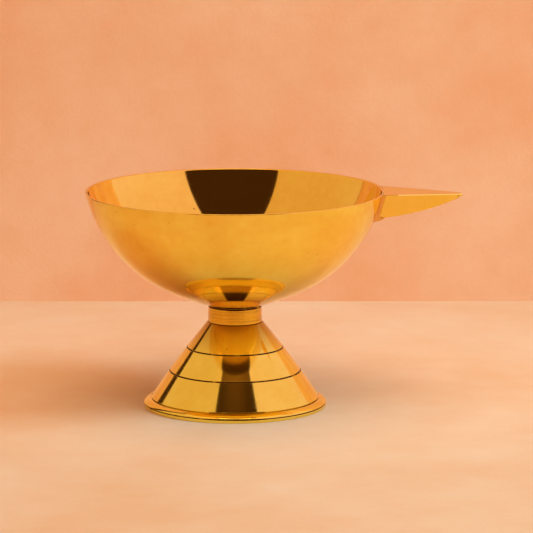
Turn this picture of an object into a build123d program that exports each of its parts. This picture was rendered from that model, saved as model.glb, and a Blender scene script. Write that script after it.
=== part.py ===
"""A brass oil lamp (diya): an open bowl with a leaf handle, screwed down on a hollow turned pedestal.

Millimetres, +Z up. The origin is on the lamp's axis, at the level of the table that it stands on.
The handle points along +X. Every piece but the handle and its braze is turned about the Z axis.
"""

from build123d import *
from math import atan2, cos, degrees, hypot, radians, sin, sqrt
import os

# ---- overall sizes -------------------------------------------------------------------------------
rim_radius = 45.0
lamp_height = 65.5
neck_radius = 8.0

# ---- bowl: one shell of even wall, with a flat shoulder and then a round wall up to the rim ------
bowl_wall = 0.8
shoulder_rise = 17.9  # degrees above level where the shoulder starts
shoulder_curve = 138.0  # radius
shoulder_length = 12.3
seat_edge = 0.35  # height of the upright edge between the seam and the shoulder
floor_blend = 12.0
rim_rounding = 0.3
rim_overrun = 3.0  # degrees that the wall is drawn past the rim before it is faced off level

# ---- handle: a solid pointed leaf, flush with the rim at its root and drooping a little ----------
leaf_reach = 27.0  # from the rim to where the two sides would meet
leaf_root_half_width = 9.3
leaf_root_inset = 1.5  # how far inside the rim's circle the two sides start
leaf_middle_half_width = 5.0
leaf_tip_rounding = 1.9
leaf_length = 24.0  # from the rim to the end of the rounded tip
leaf_root_depth = 7.2
leaf_middle_depth = 4.9
leaf_tip_depth = 1.35
leaf_droop = 0.8  # how much lower the top is at the tip than at the rim
leaf_draft = 16.0  # degrees that each side leans inwards on the way down

# ---- braze: the fillet that runs round the root of the handle ------------------------------------
braze_side = 2.4  # radius of the fillet beside the root, seen from above
braze_under = 1.0  # how far the fillet reaches down the bowl below the root
braze_hollow = 0.3  # how far the fillet below the root is hollowed
braze_step = 0.15  # how far the fillet stays below the rim

# ---- stud: brazed under the bowl, and screwed into the bush --------------------------------------
stud_head_radius = 5.5
stud_head_height = 1.6
stud_radius = 3.9  # over the crests of the thread
stud_tip_chamfer = 0.6
stud_lead = 0.75  # how far the tip still reaches into the bush when the thread is free
thread_pitch = 1.25
thread_turns = 7  # from tight to free

# ---- collar: a loose turned ring between the bowl and the pedestal -------------------------------
collar_height = 4.75
collar_flare = 0.15  # how much wider its foot is than its head
collar_head_chamfer = 0.32
collar_foot_chamfer = 0.18
head_clearance = 0.15  # round and below the stud's head
shank_clearance = 0.2

# ---- pedestal: a hollow cone in three tiers, with a scribed line between each two ----------------
pedestal_height = 25.7
pedestal_head_radius = 8.35
tier_heights = [7.8, 7.1, 8.05]
tier_spreads = [6.15, 5.3, 5.6]  # how much wider each tier's foot is than its head
pedestal_wall = 1.5
pedestal_web = 3.0  # thickness of the solid head that holds the bush
pedestal_head_chamfer = 0.2
groove_radius = 0.3
table_clearance = 0.3  # below the skirt

# ---- bush: the tapped hub brazed into the pedestal's head ----------------------------------------
bush_wall = 2.0
bush_flange_width = 1.3
bush_flange_height = 1.4
bush_overhang = 1.0  # how far the bush reaches below the stud's tip
bush_mouth_chamfer = 0.4
thread_clearance = 0.05

# ---- foot ring: a bead soldered round the pedestal's skirt, over a thin lip ----------------------
skirt_step = 0.4  # the skirt inside the ring is this much smaller than the cone's foot
ring_width = 2.6
ring_seam = 0.25  # gap between the ring's top and the cone's foot
lip_height = 0.95
lip_groove = 0.3  # depth and height of the line between the lip and the bead
bead_crown = 0.35  # how far the bead bulges above a straight slope
ring_foot_chamfer = 0.2

# ---- places worked out from those sizes ----------------------------------------------------------
seam_z = pedestal_height + collar_height  # between the collar and the bowl
seat_z = seam_z + seat_edge
shoulder_turn = degrees(shoulder_length / shoulder_curve)
leaf_root_x = sqrt(rim_radius**2 - leaf_root_half_width**2) - leaf_root_inset
leaf_middle_x = rim_radius + leaf_reach / 2
leaf_tip_x = rim_radius + leaf_reach
leaf_end_x = rim_radius + leaf_length
thread_travel = thread_pitch * thread_turns
stud_tip_z = pedestal_height - thread_travel - stud_lead
bush_bore_radius = stud_radius + thread_clearance
bush_radius = bush_bore_radius + bush_wall
bush_foot_z = stud_tip_z - bush_overhang
web_z = pedestal_height - pedestal_web
cone_foot_radius = pedestal_head_radius + sum(tier_spreads)
cone_foot_z = pedestal_height - sum(tier_heights)
skirt_radius = cone_foot_radius - skirt_step
ring_radius = skirt_radius + ring_width
ring_top_z = cone_foot_z - ring_seam


def wall_arc():
    """Radius and turn of the arc that leaves the shoulder smoothly and ends on the rim's outer edge."""
    rise = radians(shoulder_rise)
    leave = radians(shoulder_rise + shoulder_turn)
    across = rim_radius - neck_radius - shoulder_curve * (sin(leave) - sin(rise))
    up = lamp_height - seat_z - shoulder_curve * (cos(rise) - cos(leave))
    half_turn = atan2(up, across) - leave
    return hypot(across, up) / (2 * sin(half_turn)), degrees(2 * half_turn)


def draw_bowl_curve(inset, overrun):
    """Draw the bowl's side from its seat to past the rim, moved inwards by inset. Returns both ends."""
    wall_curve, wall_turn = wall_arc()
    rise = radians(shoulder_rise)
    start = (neck_radius - inset * sin(rise), seat_z + inset * cos(rise))
    shoulder = JernArc(start, (cos(rise), sin(rise)), shoulder_curve - inset, shoulder_turn)
    wall = JernArc(shoulder @ 1, shoulder % 1, wall_curve - inset, wall_turn + overrun)
    return shoulder @ 0, wall @ 1


def tier_corners():
    """Corners of the pedestal's cone as (radius, height), from its head to its foot."""
    radius, height = pedestal_head_radius, pedestal_height
    corners = [(radius, height)]
    for tier_height, tier_spread in zip(tier_heights, tier_spreads):
        radius, height = radius + tier_spread, height - tier_height
        corners.append((radius, height))
    return corners


def inner_corners():
    """Corners of the pedestal's hollow: the tiers moved inwards by the wall, from the web to the skirt."""
    tiers = tier_corners()
    inner = []
    for (r_head, z_head), (r_foot, z_foot) in zip(tiers, tiers[1:]):
        across = pedestal_wall * hypot(r_foot - r_head, z_head - z_foot) / (z_head - z_foot)
        inner.append((r_foot - across, z_foot))
        if z_head > web_z > z_foot:
            slope = (r_foot - r_head) / (z_head - z_foot)
            inner.insert(0, (r_foot - across - (web_z - z_foot) * slope, web_z))
    return inner


def draw_leaf():
    """Draw the handle's outline seen from above, from inside the bowl to the point of the leaf."""
    for side in (1, -1):
        root = (leaf_root_x, side * leaf_root_half_width)
        ThreePointArc((leaf_tip_x, 0), (leaf_middle_x, side * leaf_middle_half_width), root)
        Polyline(root, (leaf_inside_x, side * leaf_root_half_width), (leaf_inside_x, 0))


def wall_outside(depth):
    """The bowl's outside as (radius, height), at a depth below the rim."""
    wall_curve, wall_turn = wall_arc()
    lean = radians(shoulder_rise + shoulder_turn + wall_turn)
    centre_r, centre_rise = rim_radius - wall_curve * sin(lean), wall_curve * cos(lean)
    return centre_r + sqrt(wall_curve**2 - (centre_rise + depth) ** 2), lamp_height - depth


# ---- places that depend on the bowl's curve: the foot of the braze, and the lean of the wall above it ---
braze_foot = wall_outside(leaf_root_depth + braze_under)
braze_draft = degrees(atan2(rim_radius - braze_foot[0], lamp_height - braze_foot[1]))
leaf_inside_x = braze_foot[0] - leaf_root_depth / 2

# ---- solid bowl: the bowl's outside, filled; the handle and its braze are cut to fit it ----------
# The bowl is turned from the side away from the handle, so its round faces have no seam at the root.
away_from_handle = Plane(origin=(0, 0, 0), x_dir=(-1, 0, 0), z_dir=(0, 1, 0))

with BuildPart() as solid_bowl:
    with BuildSketch(away_from_handle):
        with BuildLine():
            bottom, top = draw_bowl_curve(0, rim_overrun)
            Polyline(bottom, (neck_radius, seam_z), (0, seam_z), (0, top.Y), top)
        make_face()
    revolve(axis=Axis.Z)

# ---- bowl ----------------------------------------------------------------------------------------
with BuildPart() as bowl:
    add(solid_bowl.part)
    with BuildSketch(away_from_handle):
        with BuildLine():
            bottom, top = draw_bowl_curve(bowl_wall, rim_overrun)
            Polyline(bottom, (0, bottom.Y), (0, top.Y), top)
        make_face()
    revolve(axis=Axis.Z, mode=Mode.SUBTRACT)
    split(bisect_by=Plane.XY.offset(lamp_height), keep=Keep.BOTTOM)
    fillet(bowl.edges().group_by(Axis.Z)[-1], rim_rounding)
    floor_edge = bowl.edges().filter_by_position(Axis.Z, bottom.Y - 0.01, bottom.Y + 0.01)
    fillet(floor_edge, floor_blend)

# ---- handle --------------------------------------------------------------------------------------
with BuildPart() as handle:
    with BuildSketch(Plane.XY.offset(lamp_height)) as leaf:
        with BuildLine():
            draw_leaf()
        make_face()
        fillet(leaf.vertices().sort_by(Axis.X)[-1], leaf_tip_rounding)
    extrude(amount=-2 * leaf_root_depth, taper=leaf_draft)
    with BuildSketch(Plane.XZ.offset(-leaf_root_half_width)):
        with BuildLine():
            belly = ThreePointArc(
                (rim_radius, lamp_height - leaf_root_depth),
                (leaf_middle_x, lamp_height - leaf_middle_depth),
                (leaf_end_x, lamp_height - leaf_tip_depth),
            )
            inner_end = belly @ 0 - (belly % 0) * leaf_root_depth
            Polyline(
                belly @ 1,
                (leaf_end_x, lamp_height - leaf_droop),
                (rim_radius, lamp_height),
                (inner_end.X, lamp_height),
                inner_end,
                belly @ 0,
            )
        make_face()
    extrude(amount=2 * leaf_root_half_width, mode=Mode.INTERSECT)
    add(solid_bowl.part, mode=Mode.SUBTRACT)

# ---- braze: fills the corner beside and below the handle's root, a little under the level of the rim ---
with BuildPart() as handle_braze:
    with BuildSketch(Plane.XY.offset(lamp_height)) as braze:
        with BuildLine():
            draw_leaf()
        make_face()
        Circle(rim_radius)
        fillet(braze.vertices().group_by(Axis.X)[0], braze_side)
    extrude(amount=-2 * leaf_root_depth, taper=braze_draft)
    with BuildSketch(Plane.XZ.offset(-rim_radius)):
        with BuildLine():
            root = (rim_radius, lamp_height - leaf_root_depth)
            SagittaArc(root, braze_foot, braze_hollow)
            Polyline(
                braze_foot,
                (leaf_inside_x, braze_foot[1]),
                (leaf_inside_x, lamp_height - braze_step),
                (rim_radius + braze_side, lamp_height - braze_step),
                root,
            )
        make_face()
    extrude(amount=2 * rim_radius, mode=Mode.INTERSECT)
    add(solid_bowl.part, mode=Mode.SUBTRACT)
    add(handle.part, mode=Mode.SUBTRACT)

# ---- stud ----------------------------------------------------------------------------------------
with BuildPart() as bowl_stud:
    with BuildSketch(Plane.XY.offset(seam_z)):
        Circle(stud_head_radius)
    extrude(amount=-stud_head_height)
    with BuildSketch(Plane.XY.offset(stud_tip_z)):
        Circle(stud_radius)
    extrude(amount=seam_z - stud_tip_z)
    chamfer(bowl_stud.edges().group_by(Axis.Z)[0], stud_tip_chamfer)

# ---- collar --------------------------------------------------------------------------------------
with BuildPart() as neck_collar:
    with BuildSketch(Plane.XY.offset(pedestal_height)):
        Circle(neck_radius + collar_flare)
    with BuildSketch(Plane.XY.offset(seam_z)):
        Circle(neck_radius)
    loft()
    chamfer(neck_collar.edges().group_by(Axis.Z)[-1], collar_head_chamfer)
    chamfer(neck_collar.edges().group_by(Axis.Z)[0], collar_foot_chamfer)
    with Locations((0, 0, seam_z)):
        CounterBoreHole(
            radius=stud_radius + shank_clearance,
            counter_bore_radius=stud_head_radius + head_clearance,
            counter_bore_depth=stud_head_height + head_clearance,
        )

# ---- pedestal ------------------------------------------------------------------------------------
with BuildPart() as pedestal:
    with BuildSketch(Plane.XZ):
        with BuildLine():
            Polyline(
                (0, pedestal_height),
                *tier_corners(),
                (skirt_radius, cone_foot_z),
                (skirt_radius, table_clearance),
                (0, table_clearance),
                close=True,
            )
        make_face()
    revolve(axis=Axis.Z)
    chamfer(pedestal.edges().group_by(Axis.Z)[-1], pedestal_head_chamfer)
    with BuildSketch(Plane.XZ):
        with BuildLine():
            corners = inner_corners()
            Polyline(
                (0, web_z),
                *corners,
                (skirt_radius - pedestal_wall, table_clearance),
                (0, table_clearance),
                close=True,
            )
        make_face()
    revolve(axis=Axis.Z, mode=Mode.SUBTRACT)
    with BuildSketch(Plane.XZ):
        for corner in tier_corners()[1:-1]:
            with Locations(corner):
                Circle(groove_radius)
    revolve(axis=Axis.Z, mode=Mode.SUBTRACT)
    with Locations((0, 0, pedestal_height)):
        Hole(bush_radius, depth=pedestal_web)

# ---- bush ----------------------------------------------------------------------------------------
with BuildPart() as threaded_bush:
    with BuildSketch(Plane.XY.offset(bush_foot_z)):
        Circle(bush_radius)
    extrude(amount=pedestal_height - bush_foot_z)
    with BuildSketch(Plane.XY.offset(web_z)):
        Circle(bush_radius + bush_flange_width)
    extrude(amount=-bush_flange_height)
    with Locations((0, 0, pedestal_height)):
        Hole(bush_bore_radius)
    mouth = threaded_bush.edges().group_by(Axis.Z)[-1].sort_by(SortBy.RADIUS)[0]
    chamfer(mouth, bush_mouth_chamfer)

# ---- foot ring -----------------------------------------------------------------------------------
with BuildPart() as foot_ring:
    with BuildSketch(Plane.XZ):
        with BuildLine():
            crest = (ring_radius, lip_height + lip_groove)
            inner_top = (skirt_radius, ring_top_z)
            bead = SagittaArc(crest, inner_top, -bead_crown)
            Polyline(
                inner_top,
                (skirt_radius, 0),
                (ring_radius, 0),
                (ring_radius, lip_height),
                (ring_radius - lip_groove, lip_height),
                (ring_radius - lip_groove, lip_height + lip_groove),
                crest,
            )
        make_face()
    revolve(axis=Axis.Z)
    chamfer(foot_ring.edges().group_by(Axis.Z)[0].sort_by(SortBy.RADIUS)[-1], ring_foot_chamfer)

# ---- files ---------------------------------------------------------------------------------------
pieces = {
    "bowl": bowl,
    "handle": handle,
    "handle_braze": handle_braze,
    "bowl_stud": bowl_stud,
    "neck_collar": neck_collar,
    "pedestal": pedestal,
    "threaded_bush": threaded_bush,
    "foot_ring": foot_ring,
}
os.makedirs("parts", exist_ok=True)
for name, piece in pieces.items():
    piece.part.label = name
    export_step(piece.part, f"parts/{name}.step")
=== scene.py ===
"""A brass oil lamp (diya): turned bowl with a leaf handle, loose collar, hollow pedestal and foot ring."""

from math import acos, asin, atan2, copysign, cos, hypot, pi, radians, sin, sqrt, tan
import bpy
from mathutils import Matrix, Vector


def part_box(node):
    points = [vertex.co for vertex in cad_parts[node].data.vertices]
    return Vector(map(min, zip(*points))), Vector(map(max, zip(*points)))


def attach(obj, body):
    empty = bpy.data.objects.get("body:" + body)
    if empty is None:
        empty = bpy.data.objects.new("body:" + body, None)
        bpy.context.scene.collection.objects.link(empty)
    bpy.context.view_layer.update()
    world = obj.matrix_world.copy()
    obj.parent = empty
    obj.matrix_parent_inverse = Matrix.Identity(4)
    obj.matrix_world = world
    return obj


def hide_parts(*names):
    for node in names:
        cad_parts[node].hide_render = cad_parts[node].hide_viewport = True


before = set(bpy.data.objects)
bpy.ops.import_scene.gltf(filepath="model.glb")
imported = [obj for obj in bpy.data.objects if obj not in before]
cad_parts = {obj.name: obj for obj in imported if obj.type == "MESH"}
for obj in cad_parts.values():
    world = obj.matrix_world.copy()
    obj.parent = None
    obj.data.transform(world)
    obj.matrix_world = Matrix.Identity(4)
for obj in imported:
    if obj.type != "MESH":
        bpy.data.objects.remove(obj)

from types import SimpleNamespace

import bmesh
import bpy
from bpy.props import FloatProperty, FloatVectorProperty, IntProperty, PointerProperty
from mathutils import Quaternion, Vector

bl_info = {
    "name": "Brass diya",
    "version": (1, 0, 0),
    "blender": (4, 5, 0),
    "location": "View3D > Sidebar > Diya",
    "description": "Makes a brass diya round its engineering model, and a small studio to show it in",
    "category": "Object",
}

MM = 0.001
WELD = 0.0001 * MM  # points nearer to each other than this are one point
NEAR = 0.001 * MM  # the same, where curves have been cut or joined
SEAM = 0.22 * MM  # height of the strip of tarnish and painted shade beside a seam
CREASE = 0.6  # radians between two faces, above which their edge is a corner

# how finely the round stretches are divided
SHOULDER_STEPS = 10
WALL_STEPS = 72
RIM_STEPS = 6
FLOOR_STEPS = 8
SEAM_STEPS = 3
EDGE_STEPS = 4
HEAD_STEPS = 5
GROOVE_STEPS = 10
BEAD_STEPS = 16
LEAF_STEPS = 40
TIP_STEPS = 16
KEEL_STEPS = 6
THREAD_STEPS = 48

FLOOR_FACING = 0.9  # faces that look up more than this are the bowl's floor
ROOT_CUTS = (-0.66, -0.44, -0.22, 0, 0.22, 0.44, 0.66)  # across the handle's root, in half widths
ROOT_MARGIN = 3 * MM  # the handle's edges are rounded up to this far inside the rim
THREAD_FLAT = 0.12  # width of a thread's flat crest, and of half its root, as a share of its pitch
BORE_FOOT, BORE_HEAD = 1.2, 1.4  # widening of the bush's bore at its ends, in depths of its thread
GROOVE_EDGE = 0.22  # rounding of a scribed line's edges, as a share of half its width


def length(name, millimetres, description):
    """A length that a user can change."""
    return FloatProperty(
        name=name, description=description, default=millimetres * MM, unit="LENGTH", precision=5
    )


def colour(name, rgb, description):
    """A colour that a user can change."""
    return FloatVectorProperty(
        name=name, description=description, default=rgb, size=3, subtype="COLOR", min=0, max=1
    )


def strength(name, default, description):
    """A brightness that a user can change."""
    return FloatProperty(name=name, description=description, default=default, min=0)


def angle(name, degrees, description):
    """An angle that a user can change."""
    return FloatProperty(name=name, description=description, default=radians(degrees), subtype="ANGLE")


class DiyaSizes(bpy.types.PropertyGroup):
    """Sizes of the lamp's pieces that their boxes don't give."""

    segments: IntProperty(name="Segments", description="Faces round each turned piece", default=288)
    bowl_wall: length("Bowl wall", 0.8, "Thickness of the bowl")
    rim_trim: length("Rim trim", 0.066, "How much the rounded rim is narrower than its wall's full line")
    rim_rounding: length("Rim rounding", 0.3, "Radius of both edges of the rim")
    neck_radius: length("Neck radius", 8.0, "Radius of the bowl's seat")
    seat_edge: length("Seat edge", 0.35, "Height of the upright edge above the collar")
    seat_rounding: length("Seat rounding", 0.08, "Radius of the two edges round the bowl's seat")
    shoulder_rise: angle("Shoulder rise", 17.9, "Slope of the shoulder where it starts")
    shoulder_curve: length("Shoulder curve", 138.0, "Radius of the shoulder, seen from the side")
    shoulder_length: length("Shoulder length", 12.3, "Length of the shoulder")
    floor_blend: length("Floor blend", 1.9, "How far the floor's corner is blended")
    leaf_reach: length("Leaf reach", 27.0, "From the rim to where the handle's two sides would meet")
    leaf_root_half_width: length("Leaf root", 9.3, "Half the handle's width at its root")
    leaf_root_inset: length("Leaf inset", 1.5, "How far inside the rim's circle the sides start")
    leaf_middle_half_width: length("Leaf middle", 5.0, "Half the handle's width halfway along")
    leaf_tip_rounding: length("Leaf tip", 2.03, "Radius of the handle's tip")
    leaf_root_depth: length("Root depth", 7.2, "Depth of the handle at the rim")
    leaf_middle_depth: length("Middle depth", 4.9, "Depth of the handle halfway along")
    leaf_length: length("Leaf length", 24.0, "From the rim to the end of the rounded tip")
    leaf_tip_depth: length("Tip depth", 1.35, "How far the tip's underside is below the rim")
    leaf_droop: length("Leaf droop", 0.8, "How far the top is lower at the tip than at the rim")
    leaf_draft: angle("Leaf draft", 16.0, "How far each side of the handle leans in")
    leaf_keel: length("Keel rounding", 0.3, "Radius of the handle's lower edges")
    leaf_edge: length("Edge rounding", 0.2, "Radius of the handle's worn upper edges")
    # painted highlight with wear: from here on the handle's rounded upper edges get the pale worn metal
    wear_and_highlight_start: length("Wear start", 3.6, "From the rim to where the handle's upper edges are worn bare")
    collar_flare: length("Collar flare", 0.15, "How much wider the collar's foot is than its head")
    collar_bevel: length("Collar bevel", 0.32, "Bevel at the collar's head")
    collar_foot_bevel: length("Collar foot bevel", 0.18, "Bevel at the collar's foot")
    stud_head_radius: length("Stud head", 5.5, "Radius of the stud's head")
    stud_head_height: length("Stud head height", 1.6, "Height of the stud's head")
    stud_radius: length("Stud", 3.9, "Radius of the stud over its thread")
    head_clearance: length("Head clearance", 0.15, "Space round and under the stud's head")
    shank_clearance: length("Shank clearance", 0.2, "Space between the stud and the collar")
    thread_pitch: length("Thread pitch", 1.25, "Rise of the thread in one turn")
    thread_depth: length("Thread depth", 0.55, "Depth of the thread")
    pedestal_head_radius: length("Pedestal head", 8.35, "Radius of the pedestal at its head")
    upper_tier_height: length("Upper tier height", 7.8, "Height of the pedestal's upper tier")
    middle_tier_height: length("Middle tier height", 7.1, "Height of the pedestal's middle tier")
    lower_tier_height: length("Lower tier height", 8.05, "Height of the pedestal's lower tier")
    upper_tier_spread: length("Upper tier spread", 6.15, "How much wider the upper tier's foot is")
    middle_tier_spread: length("Middle tier spread", 5.3, "How much wider the middle tier's foot is")
    lower_tier_spread: length("Lower tier spread", 5.6, "How much wider the lower tier's foot is")
    pedestal_wall: length("Pedestal wall", 1.5, "Thickness of the pedestal's wall")
    pedestal_web: length("Pedestal web", 3.0, "Thickness of the pedestal's solid head")
    tier_rounding: length("Tier rounding", 0.16, "Radius of the edges at the cone's head and foot")
    skirt_step: length("Skirt step", 0.4, "How far the skirt stands inside the cone's foot")
    groove: length("Groove", 0.22, "Half the width of a scribed line")
    bush_radius: length("Bush radius", 5.95, "Outer radius of the tapped bush")
    bush_bore: length("Bush bore", 3.95, "Radius of the bush's bore at its crests")
    bush_flange_height: length("Bush flange", 1.4, "Height of the bush's flange")
    ring_lip: length("Ring lip", 0.95, "Height of the thin lip under the foot ring's bead")
    ring_groove: length("Ring groove", 0.3, "Size of the line between the lip and the bead")
    ring_top: length("Ring top", 2.5, "Height of the bead's inner edge")
    ring_toe: length("Ring toe", 0.18, "Radius of the lip's edge on the table")
    ring_edge: length("Ring edge", 0.1, "Radius of the edges beside the foot ring's line")
    bead_crown: length("Bead crown", 0.35, "How far the bead swells")


class DiyaFinishes(bpy.types.PropertyGroup):
    """Colours of the lamp's metals, and of the shade and the highlight painted on them."""

    bright: colour("Bright brass", (0.98, 0.75, 0.13), "Brass of the bowl's outside")
    deep: colour("Deep brass", (0.92, 0.62, 0.08), "The same where it has toned a little")
    mirror: colour("Mirror brass", (0.98, 0.69, 0.1196), "Brass of the bowl's inside")
    mirror_deep: colour("Deep mirror", (0.92, 0.5704, 0.0736), "The same where it has toned a little")
    cone: colour("Cone brass", (0.98, 0.81, 0.1404), "Brass of the pedestal and the foot ring")
    cone_deep: colour("Deep cone", (0.92, 0.6696, 0.0864), "The same where it has toned a little")
    cast: colour("Cast brass", (0.99, 0.64, 0.14), "The handle's cast brass")
    brushed: colour("Brushed brass", (0.84, 0.465, 0.035), "The collar's brushed brass")
    # painted shade: this dark colour is blended in towards the neck, in place of the shade under the bowl
    neck_shade: colour("Patina", (0.36, 0.14, 0.005), "Brass toned by handling, near the neck")
    # painted highlight with wear: pale, and only partly metallic in its recipe, so the matt lights make the
    # worn edges glow
    worn_and_highlit: colour("Worn brass", (0.97, 0.86, 0.50), "Bare metal on worn edges")
    braze: colour("Braze", (0.80, 0.42, 0.09), "Metal of the brazed seam")
    # real tarnish in specks, streaks and scribed lines, and painted shade in the seams and the foot ring's
    # line
    tarnish: colour("Tarnish", (0.09, 0.035, 0.012), "Dark tarnish in lines and corners")


class DiyaStage(bpy.types.PropertyGroup):
    """The camera, the floor, the wall and the lights."""

    camera_distance: length("Camera distance", 1100, "From the lamp's axis to the camera, along the floor")
    camera_side: length("Camera side", 9.5, "How far the camera stands to the handle's side")
    camera_height: length("Camera height", 238.5, "Height of the camera above the floor")
    camera_pitch: angle("Camera pitch", 10.11, "How far the camera looks down")
    camera_lens: FloatProperty(name="Lens", description="Focal length in millimetres", default=250.7)
    wall_distance: length("Wall distance", 169, "From the lamp's axis back to the wall")
    wall_left: length("Wall left", 190, "How far the wall runs to the left")
    wall_right: length("Wall right", 260, "How far the wall runs to the right")
    wall_height: length("Wall height", 420, "Height of the wall")
    floor_size: length("Floor size", 3000, "Side of the floor")
    right_light: strength("Right light", 1.07, "Brightness of the right softbox")
    right_tint: colour("Right tint", (0.87, 0.58, 0.66), "Colour of the right softbox")
    right_roll: angle("Right roll", 2.0, "How far the right softbox is turned about its own axis")
    left_light: strength("Left light", 0.758, "Brightness of the left softbox")
    left_tint: colour("Left tint", (1.0, 0.62, 0.38), "Colour of the left softbox")
    top_light: strength("Top light", 2.6, "Brightness of the top softbox")
    top_tint: colour("Top tint", (1.0, 0.78, 0.52), "Colour of the top softbox")
    key_light: strength("Key light", 17.5, "Brightness of the light that casts the shadow")
    key_tint: colour("Key tint", (0.54, 0.85, 0.95), "Colour of the light that casts the shadow")
    key_distance: length("Key distance", 1300, "From the lamp's foot to the light that casts the shadow")
    key_turn: angle("Key turn", 72.0, "How far that light stands round to the right of the camera")
    key_rise: angle("Key rise", 42.0, "How high that light stands above the floor")
    fill_light: strength("Fill light", 2.05, "Brightness of the light above")
    fill_tint: colour("Fill tint", (1.0, 0.42, 0.10), "Colour of the light above")
    wall_light: strength("Wall light", 4.0, "Brightness of the light on the wall")
    wall_tint: colour("Wall tint", (0.93, 0.82, 0.68), "Colour of the light on the wall")
    floor_colour: colour("Floor", (0.69, 0.535, 0.385), "Colour of the floor")
    wall_colour: colour("Wall", (0.96, 0.585, 0.365), "Colour of the wall")
    room_dark: colour("Dark room", (0.054, 0.021, 0.007), "The unlit part of the room")
    room_ceiling: colour("Ceiling", (0.62, 0.25, 0.07), "The room straight above")
    room_front: colour("Room ahead", (0.50, 0.22, 0.075), "The room low down behind the camera")


# ---- outlines: a chain of points in the XZ plane, which is then turned about the Z axis ------------


def begin(bm, radius, height):
    """Start an outline at a radius and a height."""
    return bm.verts.new((radius, 0, height))


def run(bm, end, radius, height):
    """Carry the outline straight on to a radius and a height."""
    point = bmesh.ops.extrude_vert_indiv(bm, verts=[end])["verts"][0]
    point.co = (radius, 0, height)
    return point


def arc(bm, end, centre, turn, steps):
    """Carry the outline round a centre, anticlockwise if turn is positive."""
    spun = bmesh.ops.spin(
        bm, geom=[end], cent=(centre[0], 0, centre[1]), axis=(0, -1, 0), angle=turn, steps=steps
    )
    return next(item for item in spun["geom_last"] if isinstance(item, bmesh.types.BMVert))


def soften(bm, corners, size, steps):
    """Round some corners of the outline."""
    bmesh.ops.bevel(
        bm, geom=corners, offset=size, segments=steps, profile=0.5, affect="VERTICES", material=-1
    )


def turn_outline(bm, segments):
    """Turn the outline about the Z axis into a closed surface that points outwards."""
    bmesh.ops.spin(
        bm,
        geom=bm.verts[:] + bm.edges[:],
        cent=(0, 0, 0),
        axis=(0, 0, 1),
        angle=2 * pi,
        steps=segments,
        use_merge=True,
    )
    bmesh.ops.remove_doubles(bm, verts=bm.verts, dist=WELD)
    bmesh.ops.recalc_face_normals(bm, faces=bm.faces)


def finish_piece(bm, name, body, nodes, metals):
    """Make the piece from its mesh, give it its metals, and place it in the frame."""
    mesh = bpy.data.meshes.new(name)
    bm.to_mesh(mesh)
    bm.free()
    mesh.shade_smooth()
    piece = bpy.data.objects.new(name, mesh)
    bpy.context.scene.collection.objects.link(piece)
    for metal_name in metals:
        mesh.materials.append(metal(metal_name))
    weighted = piece.modifiers.new("even shading", "WEIGHTED_NORMAL")
    weighted.keep_sharp = True
    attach(piece, body)
    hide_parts(*nodes)


def box_corners(node):
    """A node's lowest and highest corners at rest."""
    low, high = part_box(node)
    return Vector(low), Vector(high)


# ---- metals -------------------------------------------------------------------------------------


class Nodes:
    """Adds and joins the nodes of one material, or of the world."""

    def __init__(self, owner):
        self.owner = owner
        self.owner.use_nodes = True
        self.tree = owner.node_tree
        self.shader = self.tree.nodes.get("Principled BSDF")

    def add(self, kind, **settings):
        """Add a node, and give its settings and its inputs their values."""
        node = self.tree.nodes.new(kind)
        for key, value in settings.items():
            if hasattr(node, key):
                setattr(node, key, value)
            else:
                node.inputs[key.replace("_", " ").title()].default_value = value
        return node

    def join(self, source, target):
        """Join an output to an input."""
        self.tree.links.new(source, target)

    def math(self, operation, first, second=0.0):
        """Do a sum on sockets or numbers."""
        node = self.tree.nodes.new("ShaderNodeMath")
        node.operation = operation
        for socket, value in zip(node.inputs, (first, second)):
            if isinstance(value, (int, float)):
                socket.default_value = value
            else:
                self.join(value, socket)
        return node.outputs[0]

    def spread(self, value, low, high, low_to=0.0, high_to=1.0):
        """Spread the values between low and high over a new range."""
        node = self.tree.nodes.new("ShaderNodeMapRange")
        self.join(value, node.inputs["Value"])
        for key, number in zip(("From Min", "From Max", "To Min", "To Max"), (low, high, low_to, high_to)):
            node.inputs[key].default_value = number
        return node.outputs["Result"]

    def noise(self, vector, scale, detail=2.0, roughness=0.5):
        """A noise of the given scale along a vector."""
        node = self.add("ShaderNodeTexNoise", scale=scale, detail=detail, roughness=roughness)
        self.join(vector, node.inputs["Vector"])
        return node.outputs["Fac"]

    def blend(self, share, first, second):
        """Blend two colours, each a socket or three numbers."""
        node = self.tree.nodes.new("ShaderNodeMix")
        node.data_type = "RGBA"
        for socket, value in ((node.inputs[0], share), (node.inputs[6], first), (node.inputs[7], second)):
            if isinstance(value, (int, float)):
                socket.default_value = value
            elif isinstance(value, bpy.types.NodeSocket):
                self.join(value, socket)
            else:
                socket.default_value = (*value, 1)
        return node.outputs[2]


def turned_vector(nodes, along, around=25.0):
    """A piece's own coordinates, its radius, and a vector far finer along the outline than round it."""
    place = nodes.add("ShaderNodeTexCoord").outputs["Object"]
    parts = nodes.add("ShaderNodeSeparateXYZ")
    nodes.join(place, parts.inputs[0])
    x, y, z = parts.outputs
    squares = nodes.math("ADD", nodes.math("MULTIPLY", x, x), nodes.math("MULTIPLY", y, y))
    radius = nodes.math("SQRT", squares)
    ring = nodes.add("ShaderNodeCombineXYZ")
    nodes.join(nodes.math("MULTIPLY", nodes.math("ADD", radius, z), along), ring.inputs[0])
    nodes.join(nodes.math("MULTIPLY", x, around), ring.inputs[1])
    nodes.join(nodes.math("MULTIPLY", y, around), ring.inputs[2])
    return place, radius, ring.outputs[0]
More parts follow.
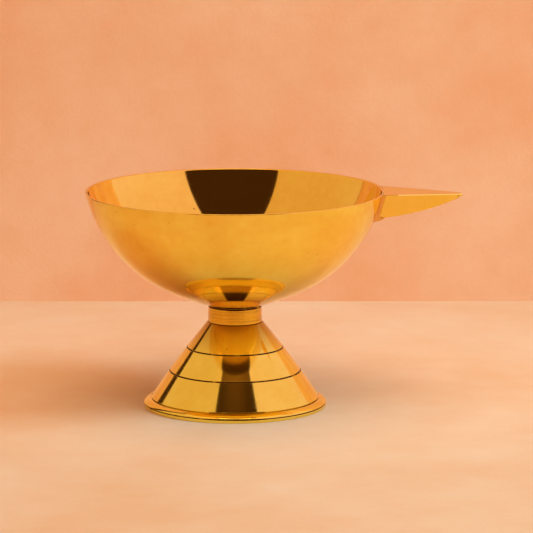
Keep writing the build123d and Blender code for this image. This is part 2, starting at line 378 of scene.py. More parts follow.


# Each metal has two tones, a roughness and how much that varies, depths of its lathe lines and its waves,
# how fine its lines are, shares of dark specks, of painted shade near the neck and of dark streaks, and how
# metallic it is; a partly metallic one shows its pale colour under the matt lights as a painted highlight.
RECIPES = {
    "satin brass": dict(
        tones=("bright", "deep"), roughness=0.10, spread=0.03, lines=0.002 * MM, waves=0.02 * MM,
        specks=0.35, neck_shade_share=0.8,
    ),
    "mirror brass": dict(
        tones=("mirror", "mirror_deep"), roughness=0.055, spread=0.025, lines=0.001 * MM, waves=0.03 * MM,
        specks=0.5, neck_shade_share=0.8,
    ),
    "polished brass": dict(
        tones=("cone", "cone_deep"), roughness=0.085, spread=0.03, lines=0.001 * MM, waves=0.03 * MM,
        specks=0.5, neck_shade_share=0.8,
    ),
    "brushed brass": dict(
        tones=("brushed", "brushed"), roughness=0.24, spread=0.10, lines=0.03 * MM, fineness=2200.0,
        specks=0.2, streaks=0.4,
    ),
    "cast brass": dict(tones=("cast", "deep"), roughness=0.20, spread=0.06, waves=0.06 * MM, specks=0.8),
    # painted highlight with wear: the pale colour and the low metal share let the matt lights light these
    # edges like a highlight
    "worn brass": dict(
        tones=("worn_and_highlit", "bright"), roughness=0.36, spread=0.08, waves=0.03 * MM, specks=0.6, metal_share=0.3
    ),
    "machined brass": dict(tones=("bright", "deep"), roughness=0.22, spread=0.06, lines=0.008 * MM),
    "braze": dict(tones=("braze", "braze"), roughness=0.35, spread=0.08, waves=0.08 * MM, specks=0.8),
}
NECK_SHADE_FAR, NECK_SHADE_NEAR = 17 * MM, 10.5 * MM  # radii between which the painted shade near the neck grows
NECK_SHADE_SWAY = 4 * MM  # how far those radii wander


def brass(
    name, tones, roughness, spread,
    lines=0.0, waves=0.0, specks=0.0, fineness=9000.0, neck_shade_share=0.0, streaks=0.0, metal_share=1.0,
):
    """Brass toned in patches, with lathe lines, a slight waviness, dark specks, painted shade near the neck
    and streaks.
    """
    finishes = bpy.context.scene.diya_finishes
    bright, deep = (getattr(finishes, tone) for tone in tones)
    nodes = Nodes(bpy.data.materials.new(name))
    place, radius, ring = turned_vector(nodes, fineness)
    patches = nodes.noise(place, scale=38.0, detail=4.0, roughness=0.6)
    fine = nodes.noise(place, scale=420.0, detail=3.0, roughness=0.6)
    tone = nodes.math("ADD", nodes.math("MULTIPLY", patches, 0.75), nodes.math("MULTIPLY", fine, 0.25))
    tint = nodes.blend(nodes.spread(tone, low=0.36, high=0.64), bright, deep)
    # painted shade: the metal darkens towards the neck, where the bowl shades it
    uneven_radius = nodes.math("ADD", radius, nodes.math("MULTIPLY", patches, NECK_SHADE_SWAY))
    shade_near_neck = nodes.spread(uneven_radius, low=NECK_SHADE_FAR, high=NECK_SHADE_NEAR)
    tint = nodes.blend(nodes.math("MULTIPLY", shade_near_neck, neck_shade_share), tint, finishes.neck_shade)
    dots = nodes.add("ShaderNodeTexVoronoi", scale=260.0, randomness=1.0)
    nodes.join(place, dots.inputs["Vector"])
    rare = nodes.spread(nodes.noise(place, scale=90.0, detail=1.0), low=0.56, high=0.64)
    speck = nodes.math("MULTIPLY", nodes.spread(dots.outputs["Distance"], low=0.10, high=0.05), rare)
    tint = nodes.blend(nodes.math("MULTIPLY", speck, specks), tint, finishes.tarnish)
    grain = nodes.noise(ring, scale=1.0, detail=3.0, roughness=0.7)
    streak = nodes.math("MULTIPLY", nodes.spread(grain, low=0.46, high=0.64), streaks)
    tint = nodes.blend(streak, tint, finishes.tarnish)
    nodes.join(tint, nodes.shader.inputs["Base Color"])
    haze = nodes.math("ADD", nodes.math("MULTIPLY", fine, 0.5), nodes.math("MULTIPLY", grain, 0.5))
    rough = nodes.spread(haze, low=0.3, high=0.7, low_to=roughness - spread, high_to=roughness + spread)
    rough = nodes.math("ADD", rough, nodes.math("MULTIPLY", speck, 0.2 * specks))
    nodes.join(rough, nodes.shader.inputs["Roughness"])
    nodes.shader.inputs["Metallic"].default_value = metal_share
    swell = nodes.add("ShaderNodeBump", strength=1.0, distance=waves)
    nodes.join(nodes.noise(place, scale=55.0, detail=1.0), swell.inputs["Height"])
    cut = nodes.add("ShaderNodeBump", strength=1.0, distance=lines)
    nodes.join(grain, cut.inputs["Height"])
    nodes.join(swell.outputs["Normal"], cut.inputs["Normal"])
    nodes.join(cut.outputs["Normal"], nodes.shader.inputs["Normal"])
    return nodes.owner


def tarnish_and_painted_shade(name):
    """Dark tarnish left in a scribed line, and painted shade in a seam and in the foot ring's line."""
    nodes = Nodes(bpy.data.materials.new(name))
    finishes = bpy.context.scene.diya_finishes
    place = nodes.add("ShaderNodeTexCoord").outputs["Object"]
    patches = nodes.noise(place, scale=300.0, detail=3.0, roughness=0.6)
    tarnish_and_shade_tone = nodes.blend(nodes.spread(patches, low=0.55, high=0.75), finishes.tarnish, finishes.deep)
    nodes.join(tarnish_and_shade_tone, nodes.shader.inputs["Base Color"])
    rough = nodes.spread(patches, low=0.3, high=0.7, low_to=0.45, high_to=0.7)
    nodes.join(rough, nodes.shader.inputs["Roughness"])
    nodes.shader.inputs["Metallic"].default_value = 1.0
    return nodes.owner


def metal(name):
    """One of the lamp's metals, made the first time that it is asked for."""
    if name in bpy.data.materials:
        return bpy.data.materials[name]
    if name in RECIPES:
        return brass(name, **RECIPES[name])
    return tarnish_and_painted_shade(name)


# ---- pieces -------------------------------------------------------------------------------------


def bowl_curves(sizes):
    """The bowl's outside, seen from the side: the arcs of its shoulder and its wall, and their slopes."""
    low, high = box_corners("bowl")
    seat = low.z + sizes.seat_edge
    rim_radius = high.x + sizes.rim_trim
    rise, shoulder = sizes.shoulder_rise, sizes.shoulder_curve
    leave = rise + sizes.shoulder_length / shoulder
    shoulder_centre = (sizes.neck_radius - shoulder * sin(rise), seat + shoulder * cos(rise))
    join = (shoulder_centre[0] + shoulder * sin(leave), shoulder_centre[1] - shoulder * cos(leave))
    half_turn = atan2(high.z - join[1], rim_radius - join[0]) - leave
    wall = hypot(high.z - join[1], rim_radius - join[0]) / (2 * sin(half_turn))
    wall_centre = (join[0] - wall * sin(leave), join[1] + wall * cos(leave))
    return SimpleNamespace(
        seat=seat, rise=rise, leave=leave, lean=leave + 2 * half_turn,
        shoulder_centre=shoulder_centre, wall=wall, wall_centre=wall_centre,
    )


class DIYA_OT_bowl(bpy.types.Operator):
    """Make the turned bowl"""

    bl_idname = "diya.bowl"
    bl_label = "Bowl"

    def execute(self, context):
        sizes = context.scene.diya_sizes
        low, high = box_corners("bowl")
        curves = bowl_curves(sizes)
        shoulder_turn, wall_turn = curves.leave - curves.rise, curves.lean - curves.leave
        inner_wall = curves.wall - sizes.bowl_wall
        inner_lean = acos((curves.wall_centre[1] - high.z) / inner_wall)
        inner_rim_radius = curves.wall_centre[0] + inner_wall * sin(inner_lean)
        bm = bmesh.new()
        underside = begin(bm, 0, low.z)
        seam = run(bm, underside, sizes.neck_radius, low.z)
        edge = run(bm, seam, sizes.neck_radius, curves.seat)
        joint = arc(bm, edge, curves.shoulder_centre, shoulder_turn, SHOULDER_STEPS)
        outer_rim = arc(bm, joint, curves.wall_centre, wall_turn, WALL_STEPS)
        inner_rim = run(bm, outer_rim, inner_rim_radius, high.z)
        joint = arc(bm, inner_rim, curves.wall_centre, curves.leave - inner_lean, WALL_STEPS)
        floor_edge = arc(bm, joint, curves.shoulder_centre, -shoulder_turn, SHOULDER_STEPS)
        run(bm, floor_edge, 0, floor_edge.co.z)
        soften(bm, [outer_rim, inner_rim], sizes.rim_rounding, RIM_STEPS)
        soften(bm, [floor_edge], sizes.floor_blend, FLOOR_STEPS)
        soften(bm, [seam, edge], sizes.seat_rounding, SEAM_STEPS)
        turn_outline(bm, sizes.segments)
        for face in bm.faces:
            place, facing = face.calc_center_median(), face.normal
            inwards = facing.x * place.x + facing.y * place.y < 0
            # painted shade and tarnish: a dark strip on the seat at the seam over the collar
            if place.z < low.z + SEAM and hypot(place.x, place.y) > sizes.neck_radius - 3 * SEAM:
                face.material_index = 2
            if place.z > curves.seat + SEAM and (inwards or facing.z > FLOOR_FACING):
                face.material_index = 1
        metals = ["satin brass", "mirror brass", "tarnish"]
        finish_piece(bm, "turned_bowl", "bowl_body", ["bowl"], metals)
        return {"FINISHED"}


def circle_through(first, middle, last):
    """Centre and radius of the circle through three points."""
    (ax, ay), (bx, by), (cx, cy) = first, middle, last
    d = 2 * (ax * (by - cy) + bx * (cy - ay) + cx * (ay - by))
    a, b, c = ax**2 + ay**2, bx**2 + by**2, cx**2 + cy**2
    x = (a * (by - cy) + b * (cy - ay) + c * (ay - by)) / d
    y = (a * (cx - bx) + b * (ax - cx) + c * (bx - ax)) / d
    return x, y, hypot(ax - x, ay - y)


def plan_arc(bm, end, centre, turn, steps):
    """Carry an outline that lies flat round a centre, anticlockwise from above if turn is positive."""
    spun = bmesh.ops.spin(
        bm, geom=[end], cent=(centre[0], centre[1], 0), axis=(0, 0, 1), angle=turn, steps=steps
    )
    return next(item for item in spun["geom_last"] if isinstance(item, bmesh.types.BMVert))


def cut_across(bm, faces, place, direction):
    """Cut some faces along a plane."""
    edges = {edge for face in faces for edge in face.edges}
    verts = {vert for face in faces for vert in face.verts}
    bmesh.ops.bisect_plane(
        bm, geom=[*verts, *edges, *faces], dist=WELD, plane_co=place, plane_no=direction
    )


def soften_edges(bm, edges, size, steps):
    """Round some edges, and return the new faces."""
    return bmesh.ops.bevel(
        bm, geom=edges, offset=size, segments=steps, profile=0.5, affect="EDGES", material=-1
    )["faces"]


def leaf_plan(sizes, rim_radius):
    """The handle seen from above: a long arc for each side, and a small one for the tip."""
    root_y = sizes.leaf_root_half_width
    root_x = sqrt(rim_radius**2 - root_y**2) - sizes.leaf_root_inset
    middle_x = rim_radius + sizes.leaf_reach / 2
    side_x, side_y, side = circle_through(
        (rim_radius + sizes.leaf_reach, 0), (middle_x, sizes.leaf_middle_half_width), (root_x, root_y)
    )
    tip = sizes.leaf_tip_rounding
    tip_x = side_x + sqrt((side - tip) ** 2 - side_y**2)
    tip_turn = atan2(-side_y, tip_x - side_x)
    side_turn = atan2(root_y - side_y, root_x - side_x) - tip_turn
    return SimpleNamespace(
        root_x=root_x, root_y=root_y, middle_x=middle_x, side_x=side_x, side_y=side_y, side=side,
        side_turn=side_turn, tip=tip, tip_x=tip_x, tip_turn=tip_turn, tangent_x=tip_x + tip * cos(tip_turn),
    )


def leaf_half_width(plan, x):
    """Half the width of the handle's top at a place along it."""
    if x > plan.tangent_x:
        return plan.tip
    return plan.side_y + sqrt(plan.side**2 - (x - plan.side_x) ** 2)


def leaf_belly(sizes, rim_radius, middle_x):
    """A function that gives the depth of the handle's underside at a place along it."""
    belly_x, belly_z, belly = circle_through(
        (rim_radius, -sizes.leaf_root_depth),
        (middle_x, -sizes.leaf_middle_depth),
        (rim_radius + sizes.leaf_length, -sizes.leaf_tip_depth),
    )
    slope = (belly_x - rim_radius) / (sizes.leaf_root_depth + belly_z)

    def depth(x):
        if x < rim_radius:
            return sizes.leaf_root_depth + (rim_radius - x) * slope
        return -belly_z + copysign(sqrt(belly**2 - (x - belly_x) ** 2), belly_z)

    return depth


class DIYA_OT_handle(bpy.types.Operator):
    """Make the leaf handle"""

    bl_idname = "diya.handle"
    bl_label = "Handle"

    def execute(self, context):
        sizes = context.scene.diya_sizes
        top = box_corners("handle")[1].z
        rim_radius = box_corners("bowl")[1].x + sizes.rim_trim
        plan = leaf_plan(sizes, rim_radius)
        bm = bmesh.new()
        self.draw_top(bm, plan, top, rim_radius + 2 * sizes.bowl_wall)
        sunk = set(bmesh.ops.extrude_face_region(bm, geom=bm.faces[:])["geom"])
        depth = leaf_belly(sizes, rim_radius, plan.middle_x)
        for vert in bm.verts:
            droop = sizes.leaf_droop * max(vert.co.x - rim_radius, 0) / sizes.leaf_length
            below = depth(vert.co.x) if vert in sunk else droop
            shrink = 1 - below * tan(sizes.leaf_draft) / leaf_half_width(plan, vert.co.x)
            vert.co.y *= shrink
            if vert.co.x > plan.tangent_x:
                vert.co.x = plan.tip_x + (vert.co.x - plan.tip_x) * shrink
            vert.co.z = top - below
        self.meet_bowl(bm, sizes)
        bmesh.ops.remove_doubles(bm, verts=bm.verts, dist=2 * NEAR)
        bmesh.ops.dissolve_degenerate(bm, edges=bm.edges, dist=2 * NEAR)
        bmesh.ops.recalc_face_normals(bm, faces=bm.faces)
        self.round_edges(bm, sizes, sunk, rim_radius + sizes.bowl_wall / 2)
        finish_piece(bm, "leaf_handle", "bowl_body", ["handle"], ["cast brass", "worn brass"])
        return {"FINISHED"}

    def draw_top(self, bm, plan, top, root_end):
        """Draw the flat top, cut across at each point of its sides, and lengthwise at its root."""
        start = bm.verts.new((plan.root_x, plan.root_y, top))
        end = plan_arc(bm, start, (plan.side_x, plan.side_y), -plan.side_turn, LEAF_STEPS)
        end = plan_arc(bm, end, (plan.tip_x, 0), -2 * plan.tip_turn, TIP_STEPS)
        end = plan_arc(bm, end, (plan.side_x, -plan.side_y), -plan.side_turn, LEAF_STEPS)
        bmesh.ops.contextual_create(bm, geom=[start, end])
        bmesh.ops.contextual_create(bm, geom=bm.edges[:])
        for x in sorted({round(vert.co.x, 7) for vert in bm.verts if vert.co.y > 0})[1:-1]:
            cut_across(bm, bm.faces[:], (x, 0, 0), (1, 0, 0))
        for share in ROOT_CUTS:
            faces = [face for face in bm.faces if face.calc_center_median().x < root_end]
            cut_across(bm, faces, (0, share * plan.root_y, 0), (0, 1, 0))

    def meet_bowl(self, bm, sizes):
        """End the root in the middle of the bowl's wall."""
        curves = bowl_curves(sizes)
        middle_of_wall = curves.wall - sizes.bowl_wall / 2
        for vert in bm.verts:
            fall = curves.wall_centre[1] - vert.co.z
            reach = curves.wall_centre[0] + sqrt(middle_of_wall**2 - fall**2)
            vert.co.x = max(vert.co.x, sqrt(reach**2 - vert.co.y**2))

    def round_edges(self, bm, sizes, sunk, outer):
        """Round the keel, and round the upper edges, giving them worn metal with a painted highlight."""
        corners = [edge for edge in bm.edges if edge.is_manifold and edge.calc_face_angle() > CREASE]
        corners = [edge for edge in corners if max(vert.co.x for vert in edge.verts) > outer - ROOT_MARGIN]
        keel = [edge for edge in corners if all(vert in sunk for vert in edge.verts)]
        lips = [edge for edge in corners if not any(vert in sunk for vert in edge.verts)]
        soften_edges(bm, keel, sizes.leaf_keel, KEEL_STEPS)
        lips = [edge for edge in lips if edge.is_valid]
        # painted highlight: beyond the wear's start the rounded upper edges get the pale worn metal
        for face in soften_edges(bm, lips, sizes.leaf_edge, EDGE_STEPS):
            if face.calc_center_median().x > outer + sizes.wear_and_highlight_start:
                face.material_index = 1


class DIYA_OT_braze(bpy.types.Operator):
    """Give the brazed seam round the handle's root its metal"""

    bl_idname = "diya.braze"
    bl_label = "Brazed seam"

    def execute(self, context):
        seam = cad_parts["handle_braze"]
        seam.data.materials.clear()
        seam.data.materials.append(metal("braze"))
        return {"FINISHED"}


class DIYA_OT_collar(bpy.types.Operator):
    """Make the collar between the bowl and the pedestal"""

    bl_idname = "diya.collar"
    bl_label = "Collar"

    def execute(self, context):
        sizes = context.scene.diya_sizes
        low, high = box_corners("neck_collar")
        foot_radius = sizes.neck_radius + sizes.collar_flare
        recess = sizes.stud_head_radius + sizes.head_clearance
        bore = sizes.stud_radius + sizes.shank_clearance
        shelf = high.z - sizes.stud_head_height - sizes.head_clearance
        bm = bmesh.new()
        inner_foot = begin(bm, bore, low.z)
        foot = run(bm, inner_foot, foot_radius, low.z)
        head = run(bm, foot, sizes.neck_radius, high.z)
        inner_head = run(bm, head, recess, high.z)
        ledge = run(bm, inner_head, recess, shelf)
        inner_ledge = run(bm, ledge, bore, shelf)
        bmesh.ops.contextual_create(bm, geom=[inner_ledge, inner_foot])
        soften(bm, [foot], sizes.collar_foot_bevel, EDGE_STEPS)
        soften(bm, [head], sizes.collar_bevel, HEAD_STEPS)
        turn_outline(bm, sizes.segments)
        # painted shade and tarnish: dark strips at the seams at the collar's head and foot
        for face in bm.faces:
            if not low.z + SEAM < face.calc_center_median().z < high.z - SEAM:
                face.material_index = 1
        metals = ["brushed brass", "tarnish"]
        finish_piece(bm, "loose_collar", "collar", ["neck_collar"], metals)
        return {"FINISHED"}


class DIYA_OT_pedestal(bpy.types.Operator):
    """Make the hollow pedestal with its three tiers and two scribed lines"""

    bl_idname = "diya.pedestal"
    bl_label = "Pedestal"

    def execute(self, context):
        sizes = context.scene.diya_sizes
        low, high = box_corners("pedestal")
        tiers = [Vector((sizes.pedestal_head_radius, high.z))]
        for height, spread in (
            (sizes.upper_tier_height, sizes.upper_tier_spread),
            (sizes.middle_tier_height, sizes.middle_tier_spread),
            (sizes.lower_tier_height, sizes.lower_tier_spread),
        ):
            tiers.append(tiers[-1] + Vector((spread, -height)))
        head, upper, lower, foot = tiers
        skirt = foot.x - sizes.skirt_step
        web_z = high.z - sizes.pedestal_web
        bm = bmesh.new()
        first = begin(bm, sizes.bush_radius, high.z)
        brow = run(bm, first, *head)
        end, edges = brow, []
        for before, corner, after in ((head, upper, lower), (upper, lower, foot)):
            coming, going = (corner - before).normalized(), (after - corner).normalized()
            end = run(bm, end, *(corner - coming * sizes.groove))
            edges.append(end)
            turn = (atan2(going.y, going.x) - atan2(-coming.y, -coming.x)) % (2 * pi)
            end = arc(bm, end, corner, turn, GROOVE_STEPS)
            edges.append(end)
        hem = run(bm, end, *foot)
        end = run(bm, hem, skirt, foot.y)
        end = run(bm, end, skirt, low.z)
        end = run(bm, end, skirt - sizes.pedestal_wall, low.z)
        for above, below in ((lower, foot), (upper, lower), (head, upper)):
            tier = below - above
            across = sizes.pedestal_wall * tier.length / -tier.y
            end = run(bm, end, below.x - across, below.y)
            if above.y > web_z > below.y:
                end = run(bm, end, below.x - across + (web_z - below.y) * tier.x / tier.y, web_z)
        end = run(bm, end, sizes.bush_radius, web_z)
        bmesh.ops.contextual_create(bm, geom=[end, first])
        soften(bm, edges, sizes.groove * GROOVE_EDGE, SEAM_STEPS)
        soften(bm, [brow, hem], sizes.tier_rounding, EDGE_STEPS)
        turn_outline(bm, sizes.segments)
        for face in bm.faces:
            place = face.calc_center_median()
            place = Vector((hypot(place.x, place.y), place.z))
            if min((place - upper).length, (place - lower).length) < sizes.groove:
                face.material_index = 1
            # painted shade and tarnish: a dark strip where the skirt meets the foot ring
            if abs(place.x - skirt) < SEAM and place.y > foot.y - 5 * SEAM:
                face.material_index = 1
        metals = ["polished brass", "tarnish"]
        finish_piece(bm, "tiered_pedestal", "base", ["pedestal"], metals)
        return {"FINISHED"}


class DIYA_OT_foot_ring(bpy.types.Operator):
    """Make the beaded foot ring"""

    bl_idname = "diya.foot_ring"
    bl_label = "Foot ring"

    def execute(self, context):
        sizes = context.scene.diya_sizes
        low, high = box_corners("foot_ring")
        spreads = sizes.upper_tier_spread + sizes.middle_tier_spread + sizes.lower_tier_spread
        skirt = sizes.pedestal_head_radius + spreads - sizes.skirt_step
        lip, groove = sizes.ring_lip, sizes.ring_groove
        crest = Vector((high.x, lip + groove))
        inner_top = Vector((skirt, sizes.ring_top))
        chord = inner_top - crest
        radius = (chord.length**2 / 4 + sizes.bead_crown**2) / (2 * sizes.bead_crown)
        inward = Vector((-chord.y, chord.x)).normalized()
        centre = (crest + inner_top) / 2 + inward * (radius - sizes.bead_crown)
        bm = bmesh.new()
        first = begin(bm, *inner_top)
        end = run(bm, first, skirt, low.z)
        toe = run(bm, end, high.x, low.z)
        ledge = run(bm, toe, high.x, lip)
        end = run(bm, ledge, high.x - groove, lip)
        end = run(bm, end, high.x - groove, lip + groove)
        end = run(bm, end, *crest)
        arc(bm, end, centre, 2 * asin(chord.length / 2 / radius), BEAD_STEPS)
        bmesh.ops.remove_doubles(bm, verts=bm.verts, dist=NEAR)
        brow = min(bm.verts, key=lambda vert: (Vector((vert.co.x, vert.co.z)) - crest).length)
        soften(bm, [toe], sizes.ring_toe, EDGE_STEPS)
        soften(bm, [ledge, brow], sizes.ring_edge, EDGE_STEPS)
        turn_outline(bm, sizes.segments)
        # painted shade: the line between the lip and the bead gets the dark tarnish metal, in place of a
        # dark reflection
        for face in bm.faces:
            place = face.calc_center_median()
            level = abs(place.z - lip - groove / 2) < groove / 2
            if level and hypot(place.x, place.y) < high.x - groove / 3:
                face.material_index = 1
        metals = ["polished brass", "tarnish"]
        finish_piece(bm, "beaded_foot_ring", "base", ["foot_ring"], metals)
        return {"FINISHED"}


class DIYA_OT_fixings(bpy.types.Operator):
    """Make the threaded stud and the tapped bush that hold the lamp together"""

    bl_idname = "diya.fixings"
    bl_label = "Stud and bush"

    def execute(self, context):
        sizes = context.scene.diya_sizes
        self.stud(sizes)
        self.bush(sizes)
        return {"FINISHED"}

    def thread(self, bm, crest, root, foot, head, pitch):
        """Make a thread between two heights, and return the loops of edges at its foot and head."""
        turns = int((head - foot) / pitch) + 3  # enough to be cut off level at both ends
        crest_half = THREAD_FLAT / 2
        end = start = begin(bm, root, foot - pitch)
        for radius, share in (
            (root, THREAD_FLAT),
            (crest, 0.5 - crest_half),
            (crest, 0.5 + crest_half),
            (root, 1 - THREAD_FLAT),
            (root, 1),
        ):
            end = run(bm, end, radius, start.co.z + pitch * share)
        bmesh.ops.spin(
            bm, geom=bm.verts[:] + bm.edges[:], cent=(0, 0, 0), axis=(0, 0, 1),
            dvec=(0, 0, pitch / THREAD_STEPS), angle=2 * pi * turns, steps=THREAD_STEPS * turns,
        )
        bmesh.ops.remove_doubles(bm, verts=bm.verts, dist=NEAR)
        for height, way in ((foot, -1), (head, 1)):
            bmesh.ops.bisect_plane(
                bm, geom=bm.verts[:] + bm.edges[:] + bm.faces[:], dist=WELD,
                plane_co=(0, 0, height), plane_no=(0, 0, way), clear_outer=True,
            )
        edges = [edge for edge in bm.edges if edge.is_boundary]
        loops = []
        for height in (foot, head):
            loops.append([e for e in edges if all(abs(v.co.z - height) < NEAR for v in e.verts)])
        return loops

    def step(self, bm, edges, radius, height):
        """Carry a loop of edges on to a circle, and return its edges."""
        new = bmesh.ops.extrude_edge_only(bm, edges=edges)["geom"]
        for vert in new:
            if isinstance(vert, bmesh.types.BMVert):
                now = hypot(vert.co.x, vert.co.y)
                vert.co = (vert.co.x * radius / now, vert.co.y * radius / now, height)
        return [item for item in new if isinstance(item, bmesh.types.BMEdge)]

    def stud(self, sizes):
        """Make the stud, with its thread."""
        low, high = box_corners("bowl_stud")
        radius, root = sizes.stud_radius, sizes.stud_radius - sizes.thread_depth
        bush_top = box_corners("threaded_bush")[1].z
        bm = bmesh.new()
        foot, head = self.thread(bm, radius, root, low.z + sizes.thread_depth, bush_top, sizes.thread_pitch)
        foot = self.step(bm, foot, root - sizes.thread_depth / 2, low.z)
        bmesh.ops.contextual_create(bm, geom=foot)
        under = high.z - sizes.stud_head_height
        head = self.step(bm, head, radius, bush_top)
        head = self.step(bm, head, radius, under)
        head = self.step(bm, head, sizes.stud_head_radius, under)
        head = self.step(bm, head, sizes.stud_head_radius, high.z)
        bmesh.ops.contextual_create(bm, geom=head)
        bmesh.ops.remove_doubles(bm, verts=bm.verts, dist=WELD)
        bmesh.ops.recalc_face_normals(bm, faces=bm.faces)
        self.sharpen(bm)
        finish_piece(bm, "threaded_stud", "bowl_body", ["bowl_stud"], ["machined brass"])

    def bush(self, sizes):
        """Make the bush, with a thread in its bore."""
        low, high = box_corners("threaded_bush")
        bore, depth = sizes.bush_bore, sizes.thread_depth
        web_z = high.z - sizes.pedestal_web
        flange_z = web_z - sizes.bush_flange_height
        bm = bmesh.new()
        foot, head = self.thread(
            bm, bore, bore + depth, low.z + depth / 2, high.z - depth, sizes.thread_pitch
        )
        foot = self.step(bm, foot, bore + depth * BORE_FOOT, low.z)
        foot = self.step(bm, foot, sizes.bush_radius, low.z)
        foot = self.step(bm, foot, sizes.bush_radius, flange_z)
        foot = self.step(bm, foot, high.x, flange_z)
        foot = self.step(bm, foot, high.x, web_z)
        foot = self.step(bm, foot, sizes.bush_radius, web_z)
        foot = self.step(bm, foot, sizes.bush_radius, high.z)
        head = self.step(bm, head, bore + depth * BORE_HEAD, high.z)
        bmesh.ops.bridge_loops(bm, edges=foot + head)
        bmesh.ops.recalc_face_normals(bm, faces=bm.faces)
        self.sharpen(bm)
        finish_piece(bm, "tapped_bush", "base", ["threaded_bush"], ["machined brass"])

    def sharpen(self, bm):
        """Keep the corners of a machined piece crisp."""
        for edge in bm.edges:
            if edge.is_manifold and edge.calc_face_angle() > CREASE:
                edge.smooth = False


# ---- stage --------------------------------------------------------------------------------------


DARKER_BLOTCHES = (0.96, 0.84, 0.74)  # shares of the paint's red, green and blue
PALER_BLOTCHES = (1.02, 1.06, 1.12)


def plaster(name, tint, patch, grain=900.0):
    """A matt painted surface with faint blotches."""
    nodes = Nodes(bpy.data.materials.new(name))
    place = nodes.add("ShaderNodeTexCoord").outputs["Object"]
    clouds = nodes.noise(place, scale=patch, detail=3.0, roughness=0.55)
    smears = nodes.noise(place, scale=patch * 6, detail=6.0, roughness=0.7)
    blotches = nodes.math("ADD", nodes.math("MULTIPLY", clouds, 0.7), nodes.math("MULTIPLY", smears, 0.3))
    darker = tuple(channel * share for channel, share in zip(tint, DARKER_BLOTCHES))
    paler = tuple(min(channel * share, 1) for channel, share in zip(tint, PALER_BLOTCHES))
    paint = nodes.blend(nodes.spread(blotches, low=0.38, high=0.62), darker, paler)
    nodes.join(paint, nodes.shader.inputs["Base Color"])
    nodes.shader.inputs["Roughness"].default_value = 0.75
    bump = nodes.add("ShaderNodeBump", strength=0.3, distance=0.2 * MM)
    nodes.join(nodes.noise(place, scale=grain, detail=3.0, roughness=0.6), bump.inputs["Height"])
    nodes.join(bump.outputs["Normal"], nodes.shader.inputs["Normal"])
    return nodes


def one_sided(nodes):
    """Let light and sight through the material from behind."""
    clear = nodes.add("ShaderNodeBsdfTransparent")
    behind = nodes.add("ShaderNodeNewGeometry").outputs["Backfacing"]
    either = nodes.add("ShaderNodeMixShader")
    nodes.join(behind, either.inputs[0])
    nodes.join(nodes.shader.outputs[0], either.inputs[1])
    nodes.join(clear.outputs[0], either.inputs[2])
    nodes.join(either.outputs[0], nodes.tree.nodes["Material Output"].inputs["Surface"])


def panel(name, corners, nodes):
    """A flat panel between four corners, given anticlockwise as seen from its front."""
    mesh = bpy.data.meshes.new(name)
    bm = bmesh.new()
    bmesh.ops.create_grid(bm, x_segments=1, y_segments=1, size=1)
    for vert, corner in zip(sorted(bm.verts, key=lambda v: (v.co.y, v.co.x)), corners):
        vert.co = corner
    bmesh.ops.recalc_face_normals(bm, faces=bm.faces)
    bm.to_mesh(mesh)
    bm.free()
    piece = bpy.data.objects.new(name, mesh)
    bpy.context.scene.collection.objects.link(piece)
    mesh.materials.append(nodes.owner)


def softbox(stage, which, place, back, height, width, roll=0.0):
    """One of the stage's lights: a soft panel that shines away from its back."""
    light = bpy.data.lights.new(f"{which} light", "AREA")
    light.shape = "RECTANGLE"
    light.size, light.size_y = width, height
    light.energy = getattr(stage, f"{which}_light") * pi * height * width
    light.color = getattr(stage, f"{which}_tint")
    piece = bpy.data.objects.new(light.name, light)
    piece.location = place
    back = Vector(back)
    piece.rotation_euler = (Quaternion(back, roll) @ back.to_track_quat("Z", "Y")).to_euler()
    bpy.context.scene.collection.objects.link(piece)
    return piece


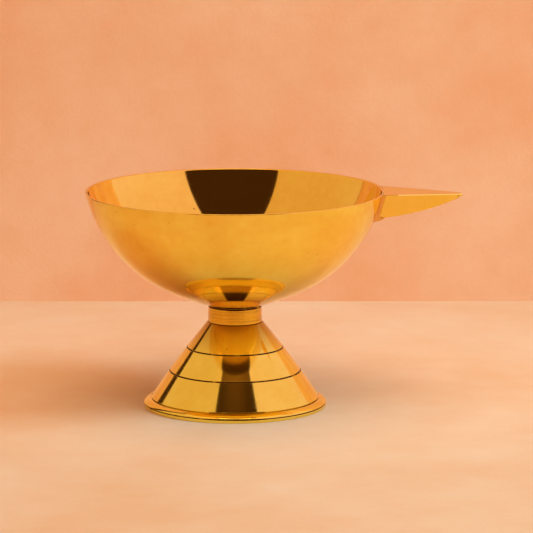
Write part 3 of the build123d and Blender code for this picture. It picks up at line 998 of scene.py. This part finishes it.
class DIYA_OT_stage(bpy.types.Operator):
    """Set up the camera, the floor, the wall and the lights"""

    bl_idname = "diya.stage"
    bl_label = "Stage"

    def execute(self, context):
        stage = context.scene.diya_stage
        self.floor_and_wall(stage)
        self.lights(stage)
        self.room(context.scene, stage)
        self.camera(context.scene, stage)
        return {"FINISHED"}

    def floor_and_wall(self, stage):
        """Lay the floor, and stand the wall on it behind the lamp."""
        half = stage.floor_size / 2
        left, right, back, top = -stage.wall_left, stage.wall_right, stage.wall_distance, stage.wall_height
        floor_corners = [(-half, -half, 0), (half, -half, 0), (-half, half, 0), (half, half, 0)]
        wall_corners = [(left, back, 0), (right, back, 0), (left, back, top), (right, back, top)]
        panel("floor", floor_corners, plaster("floor paint", stage.floor_colour, patch=9.0))
        wall_paint = plaster("wall paint", stage.wall_colour, patch=14.0)
        one_sided(wall_paint)
        panel("wall", wall_corners, wall_paint)

    def lights(self, stage):
        """Hang three softboxes that only metal shows, and three lights that only matt surfaces catch."""
        turn, rise = stage.key_turn, stage.key_rise
        towards_key = Vector((sin(turn) * cos(rise), -cos(turn) * cos(rise), sin(rise)))
        key_place = towards_key * stage.key_distance
        mirrored = (
            softbox(
                stage, "right", place=(0.8, -0.185, 2.0), back=(1, 0, 0), height=4.0, width=1.49,
                roll=stage.right_roll,
            ),
            softbox(stage, "left", place=(-0.8, -0.27, 2.0), back=(-1, 0, 0), height=4.0, width=1.66),
            softbox(stage, "top", place=(0, -0.3, 1.9), back=(0, 0, 1), height=0.7, width=0.9),
        )
        matt = (
            softbox(stage, "key", place=key_place, back=towards_key, height=0.45, width=0.45),
            softbox(stage, "fill", place=(0, -0.2, 1.8), back=(0, 0, 1), height=1.6, width=1.6),
            softbox(stage, "wall", place=(0.1, -0.7, 1.3), back=(0, -0.55, 0.8), height=0.8, width=1.0),
        )
        for light in mirrored:
            light.visible_diffuse = False
        for light in matt:
            light.visible_glossy = False

    def room(self, scene, stage):
        """Close the room: dark, but lit a little straight above and low down behind the camera."""
        nodes = Nodes(bpy.data.worlds.new("dark room"))
        split = nodes.add("ShaderNodeSeparateXYZ")
        nodes.join(nodes.add("ShaderNodeTexCoord").outputs["Generated"], split.inputs[0])
        ahead, up = split.outputs[1:]
        walls = nodes.blend(nodes.spread(up, low=0.83, high=0.97), stage.room_dark, stage.room_ceiling)
        low_front = nodes.math(
            "MULTIPLY", nodes.spread(up, low=0.30, high=0.18), nodes.spread(ahead, low=-0.55, high=-0.75)
        )
        background = nodes.tree.nodes["Background"]
        nodes.join(nodes.blend(low_front, walls, stage.room_front), background.inputs["Color"])
        scene.world = nodes.owner
        scene.view_settings.view_transform = "Standard"

    def camera(self, scene, stage):
        """Stand the camera in front of the lamp, a little above it."""
        lens = bpy.data.cameras.new("camera")
        lens.lens = stage.camera_lens
        lens.clip_end = 20
        camera = bpy.data.objects.new("camera", lens)
        camera.location = (stage.camera_side, -stage.camera_distance, stage.camera_height)
        camera.rotation_euler = (pi / 2 - stage.camera_pitch, 0, 0)
        scene.collection.objects.link(camera)
        scene.camera = camera


class DIYA_PT_sidebar(bpy.types.Panel):
    """List the lamp's pieces, its sizes and its finishes"""

    bl_label = "Brass diya"
    bl_idname = "DIYA_PT_sidebar"
    bl_space_type = "VIEW_3D"
    bl_region_type = "UI"
    bl_category = "Diya"

    def draw(self, context):
        for operator in OPERATORS:
            self.layout.operator(operator.bl_idname)
        for group in (context.scene.diya_sizes, context.scene.diya_finishes, context.scene.diya_stage):
            box = self.layout.box()
            for name in group.__annotations__:
                box.prop(group, name)


OPERATORS = (
    DIYA_OT_stage,
    DIYA_OT_bowl,
    DIYA_OT_handle,
    DIYA_OT_braze,
    DIYA_OT_collar,
    DIYA_OT_pedestal,
    DIYA_OT_foot_ring,
    DIYA_OT_fixings,
)
GROUPS = {"diya_sizes": DiyaSizes, "diya_finishes": DiyaFinishes, "diya_stage": DiyaStage}


def register():
    """Add the lamp's settings, operators and panel."""
    for name, group in GROUPS.items():
        bpy.utils.register_class(group)
        setattr(bpy.types.Scene, name, PointerProperty(type=group))
    for operator in (*OPERATORS, DIYA_PT_sidebar):
        bpy.utils.register_class(operator)


def unregister():
    """Take the lamp's settings, operators and panel away."""
    for operator in (DIYA_PT_sidebar, *reversed(OPERATORS)):
        bpy.utils.unregister_class(operator)
    for name, group in GROUPS.items():
        delattr(bpy.types.Scene, name)
        bpy.utils.unregister_class(group)


def main():
    """Make the lamp and its stage."""
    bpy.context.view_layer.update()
    register()
    bpy.ops.diya.stage()
    bpy.ops.diya.bowl()
    bpy.ops.diya.handle()
    bpy.ops.diya.braze()
    bpy.ops.diya.collar()
    bpy.ops.diya.pedestal()
    bpy.ops.diya.foot_ring()
    bpy.ops.diya.fixings()


if __name__ == "__main__":
    main()
